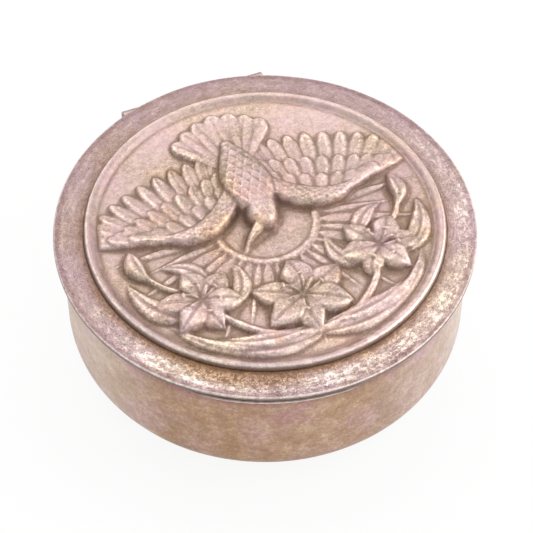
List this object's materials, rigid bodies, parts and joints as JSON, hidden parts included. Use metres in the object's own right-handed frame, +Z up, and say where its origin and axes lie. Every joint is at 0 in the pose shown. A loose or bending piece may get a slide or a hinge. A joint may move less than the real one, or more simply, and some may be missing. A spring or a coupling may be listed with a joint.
{
  "type": "silver pill box",
  "caption": "Small round silver pill box with straight walls, an overhanging hinged lid and a pressed relief medallion set in the lid.",
  "frame": {"origin": "centre of the flat underside of the base", "axes": "+Z up, along the height; +Y towards the hinge at the back; +X to the right when seen from the front"},
  "size_m": [0.042, 0.042, 0.0167],
  "materials": {
    "warm_silver": "worn silver with a warm beige tarnish",
    "mauve_silver": "worn silver with a pink-mauve patina",
    "relief_silver": "pressed silver, dark in the hollows and rubbed bright on the high points",
    "inside_silver": "unworn satin silver",
    "hinge_silver": "drawn silver wire, slightly tarnished"
  },
  "bodies": {
    "box": {"body_cup": "warm_silver", "bezel_band": "inside_silver", "body_knuckle_1": "warm_silver", "body_knuckle_2": "warm_silver", "body_knuckle_3": "warm_silver", "hinge_pin": "hinge_silver"},
    "lid": {"lid_frame": "mauve_silver", "lid_medallion": "relief_silver", "thumb_lip": "mauve_silver", "lid_knuckle_1": "mauve_silver", "lid_knuckle_2": "mauve_silver"}
  },
  "joints": [
    {"name": "lid_hinge", "type": "hinge", "parent": "box", "child": "lid", "pos_m": [0, 0.02, 0.0134], "axis": [-1, 0, 0], "range_deg": [0, 110]}
  ]
}
